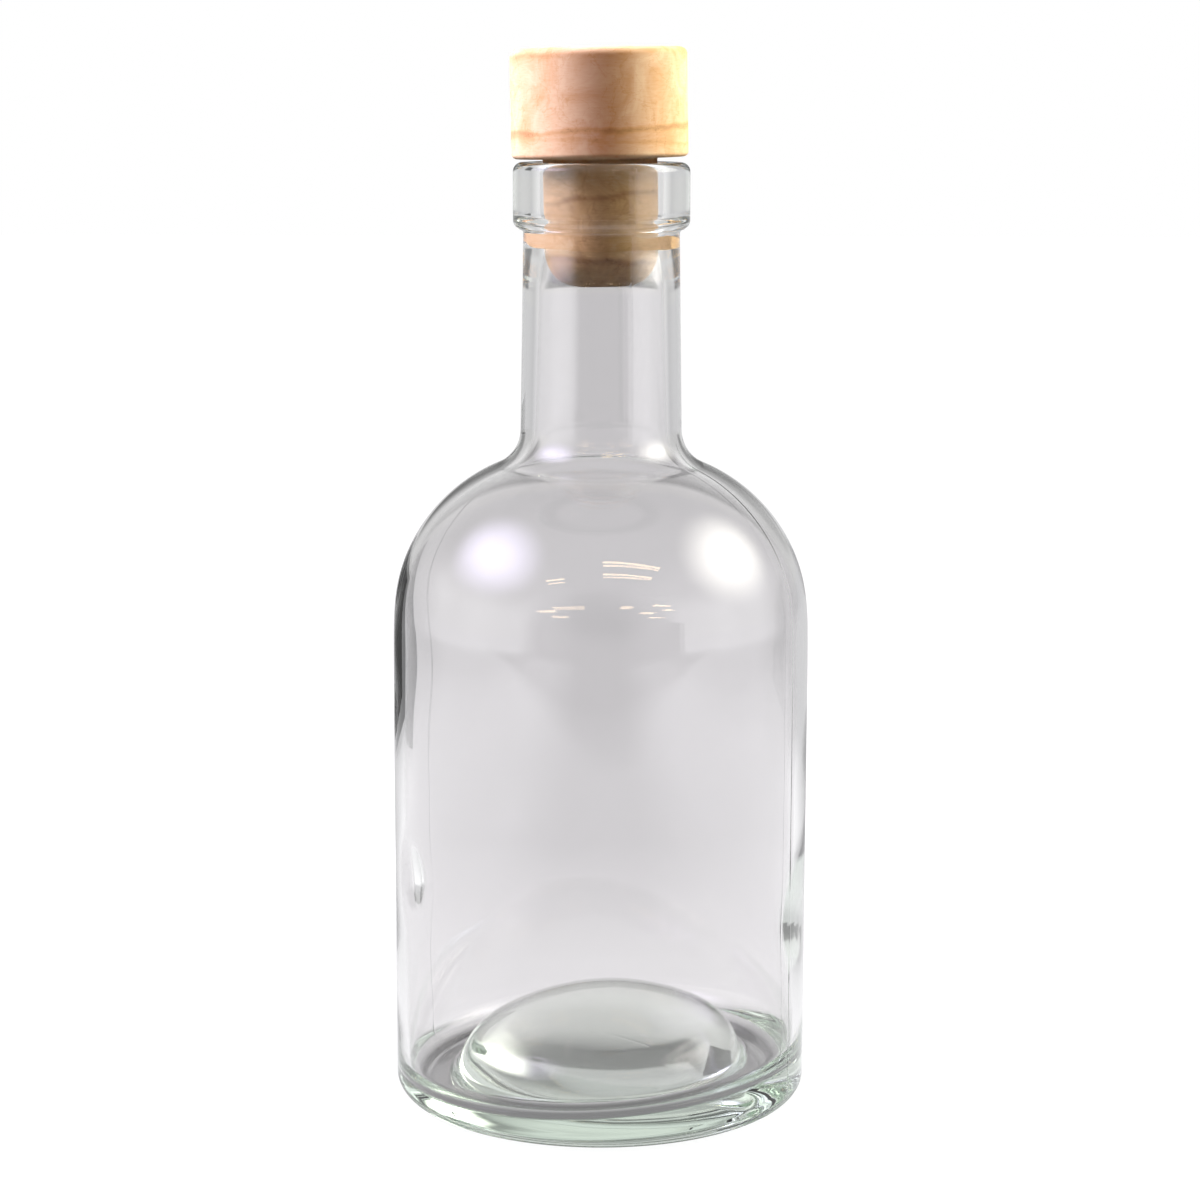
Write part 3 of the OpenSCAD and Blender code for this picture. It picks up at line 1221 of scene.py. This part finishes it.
@dataclass(frozen=True)
class PaperFloor:
    """The white paper that the bottle stands on. Its levels are what the sharp glass sees of it.

    The sharp glass sees the paper glow with painted light and shade. The table's levels go by the
    depth from front to back, and the painted shadow under the foot goes by the distance from the
    middle of the foot. The pools are the lamps' light, painted on the paper at either side, and go by
    the distance aside. Far off, the floor takes the levels of the room's walls.
    """

    room: Room
    half: float = 3.0
    drop: float = 0.00002
    paper: str = "#fcfcfe"
    paper_shade: str = "#505050"
    white_to_camera: Fade = Fade(0.05, 0.13, 0.86, 1.0)
    table_depth: Fade = Fade(-0.5, 0.5)
    # Painted light and shade that the sharp glass sees: the table's falloff, the lamps' pools and the shadow
    # under the foot
    table: Stops = ((0.15, 0.15), (0.20, 1.1), (0.50, 1.1), (0.66, 0.715))
    pools_reach: float = 0.5
    pools: Stops = ((0.15, 0.0), (0.4, 0.68), (0.6, 0.56), (0.85, 0.0))
    pools_depth: Fade = Fade(0.12, 0.25, 1.0, 0.0)
    far_off: Fade = Fade(0.5, 0.8)
    shade_reach: float = 0.05
    shade: Stops = ((0.36, 0.75), (0.48, 0.2), (0.62, 0.2), (0.72, 1.0))

    def seen_by_glass(
        self, tree: bpy.types.NodeTree, place: bpy.types.NodeSocket, out: bpy.types.NodeSocket
    ) -> bpy.types.Node:
        """Works out the level that the sharp glass sees at each place.

        Args:
            tree: The paper's node tree.
            place: The place on the paper, in metres.
            out: Its distance from the middle of the foot.

        Returns:
            The node that gives the level.
        """
        axes = add_node(tree, "SeparateXYZ", {0: place})
        depth = add_node(tree, "MapRange", {"Value": axes.outputs["Y"]} | self.table_depth.ends())
        aside = add_node(tree, "Math", {0: axes.outputs["X"]}, operation="ABSOLUTE")
        across = add_node(tree, "Math", {0: aside, 1: 1 / self.pools_reach}, operation="MULTIPLY")
        front = add_node(tree, "MapRange", {"Value": axes.outputs["Y"]} | self.pools_depth.ends(), **SMOOTH)
        lit = {0: level_at(tree, across, self.pools), 1: front, 2: level_at(tree, depth, self.table)}
        near = add_node(tree, "Math", lit, operation="MULTIPLY_ADD")
        towards = add_node(tree, "VectorMath", {0: place}, operation="NORMALIZE")
        share = self.room.share(tree, add_node(tree, "SeparateXYZ", {0: towards}))
        away = add_node(tree, "MapRange", {"Value": out} | self.far_off.ends(), **SMOOTH)
        level = add_node(tree, "Mix", {0: away, 2: near, 3: level_at(tree, share, self.room.walls)})
        # Painted shadow under the foot, which only the sharp glass sees
        under = add_node(tree, "Math", {0: out, 1: 1 / self.shade_reach}, operation="MULTIPLY")
        shade = level_at(tree, under, self.shade)
        clear = self.room.through_glass(tree, level, share)
        return add_node(tree, "Math", {0: clear, 1: shade}, operation="MULTIPLY")

    def build(self) -> None:
        """Makes the paper: glowing white to the camera, and matt to the light that it gathers."""
        material, tree = new_material("white_paper")
        place = add_node(tree, "TexCoord").outputs["Object"]
        out = add_node(tree, "VectorMath", {0: place}, operation="LENGTH").outputs["Value"]
        ray = add_node(tree, "LightPath").outputs
        white = add_node(tree, "MapRange", {"Value": out} | self.white_to_camera.ends(), **SMOOTH)
        seen = add_node(tree, "Math", {0: white, 1: ray["Is Camera Ray"]}, operation="MULTIPLY")
        matt = add_node(tree, "BsdfDiffuse", {"Color": linear(self.paper_shade)})
        glow = add_node(tree, "Emission", {"Color": linear(WHITE), "Strength": seen})
        both = add_node(tree, "AddShader", {0: matt, 1: glow})
        # The sharp glass sees a glow with painted light and shade in place of the lit paper
        level = self.seen_by_glass(tree, place, out)
        lit = add_node(tree, "Emission", {"Color": linear(self.paper), "Strength": level})
        rays = {0: ray["Is Glossy Ray"], 1: ray["Diffuse Depth"]}
        sharp = add_node(tree, "Math", rays, operation="SUBTRACT", use_clamp=True)
        surface = add_node(tree, "MixShader", {0: sharp, 1: both, 2: lit})
        add_node(tree, "OutputMaterial", {"Surface": surface})
        floor = add_panel("floor", rectangle(self.half, self.half), material, only_in_glass=False)
        floor.location.z = -self.drop


@dataclass(frozen=True)
class Studio:
    """The camera, the room and its floor, and the lamps, tubes and cards that the glass mirrors."""

    camera: StudioCamera = StudioCamera()
    room: Room = Room()
    cards: tuple[Card, ...] = (
        Card("left_card", (-0.095, 0.25), (-0.225, 0.25), 0.085, 0.06, 0.06),
        Card("front_card", (-0.33, -0.50), (0.50, -0.50), 0.16, 0.12, 0.86),
    )
    tubes: tuple[CeilingTube, ...] = (
        CeilingTube(0.05, 1.66, -1.82),
        CeilingTube(0.07, 1.64, -2.45),
        CeilingTube(-1.86, -1.18, -2.6),
        CeilingTube(-5.0, -3.3, -7.0, width=0.30),
        CeilingTube(-3.2, -1.0, -6.2, width=0.25),
        CeilingTube(1.26, 2.1, -6.2, width=0.25),
        CeilingTube(3.3, 4.6, -5.5, width=0.20),
        CeilingTube(3.2, 4.6, -7.7, width=0.30),
        CeilingTube(4.8, 5.8, -6.5, width=0.25),
        CeilingTube(-4.8, -3.1, -9.3, width=0.40),
        CeilingTube(5.1, 7.0, -9.8, width=0.40),
    )
    lamps: tuple[Lamp, ...] = (
        Lamp("left_lamp", -79.0, 39.0, 0.62, 0.80, 0.60, 7.0, "#ece4ff", -90.0, 10.6),
        Lamp("right_lamp", 92.0, 32.0, 0.62, 0.80, 0.64, 7.0, "#fffdf4", 99.0, 8.5),
    )
    lamps_face: Place = (0.0, 0.0, 0.09)
    bounces: int = 24
    glossy_bounces: int = 16

    def build(self) -> None:
        """Makes everything that isn't part of the object."""
        bpy.context.scene.view_settings.view_transform = "Standard"
        paths = bpy.context.scene.cycles
        paths.max_bounces = self.bounces
        paths.transmission_bounces = self.bounces
        paths.glossy_bounces = self.glossy_bounces
        self.camera.build()
        self.room.build()
        PaperFloor(self.room).build()
        for card in self.cards:
            card.build()
        for number, tube in enumerate(self.tubes, 1):
            tube.build(f"ceiling_tube_{number}")
        for lamp in self.lamps:
            lamp.build(Vector(self.lamps_face))
        LOG.info("studio: %d lamps, %d tubes, %d cards", len(self.lamps), len(self.tubes), len(self.cards))


def main() -> None:
    """Builds the bottle, the stopper and the studio round the frame."""
    logging.basicConfig(level=logging.INFO, format="%(message)s")
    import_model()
    low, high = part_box("bottle")
    glass = GlassBottle(body_r=(high.y - low.y) / 2 / MM, height=high.z / MM)
    glass.build()
    WoodStopper(glass).build()
    Studio().build()


if __name__ == "__main__":
    main()
